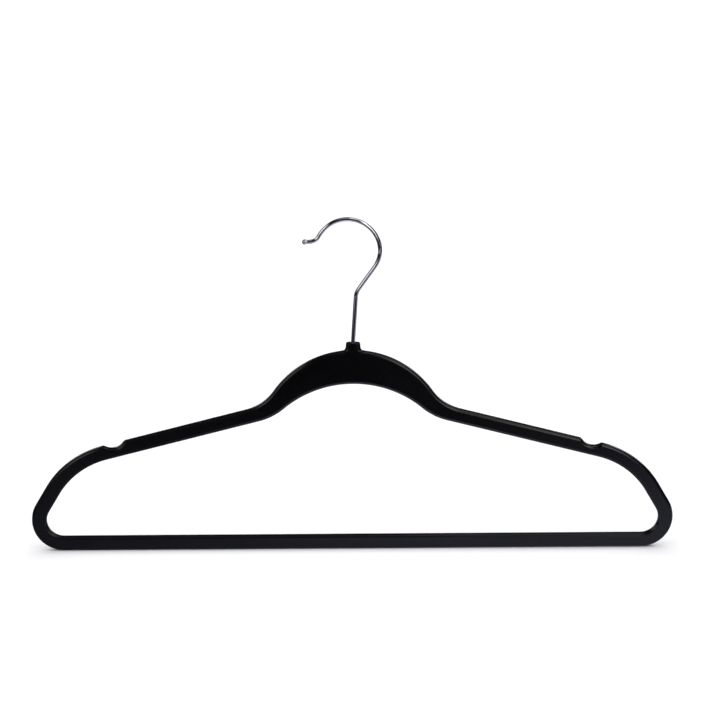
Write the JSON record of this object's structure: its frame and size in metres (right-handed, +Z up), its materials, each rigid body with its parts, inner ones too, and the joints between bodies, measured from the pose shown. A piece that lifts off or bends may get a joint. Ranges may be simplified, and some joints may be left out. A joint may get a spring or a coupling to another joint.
{
  "type": "clothes hanger",
  "caption": "Slim one-piece moulded suit hanger with a trouser bar, strap notches and a swivelling wire hook.",
  "frame": {"origin": "foot of the swivel axis: the middle of the trouser bar's underside", "axes": "+Z up along the swivel axis, X along the trouser bar, Y through the thickness; the hook's tip points to -X"},
  "size_m": [0.445, 0.0056, 0.236],
  "materials": {
    "black_plastic": "black, moulded, satin to semi-gloss",
    "bright_steel": "bright chrome plate on steel wire"
  },
  "bodies": {
    "hook": {"swivel_hook": "bright_steel"},
    "hanger": {"hanger_body": "black_plastic"}
  },
  "joints": [
    {"name": "hook_swivel", "type": "hinge", "parent": "hook", "child": "hanger", "pos_m": [0, 0, 0.14], "axis": [0, 0, 1], "continuous": true}
  ]
}
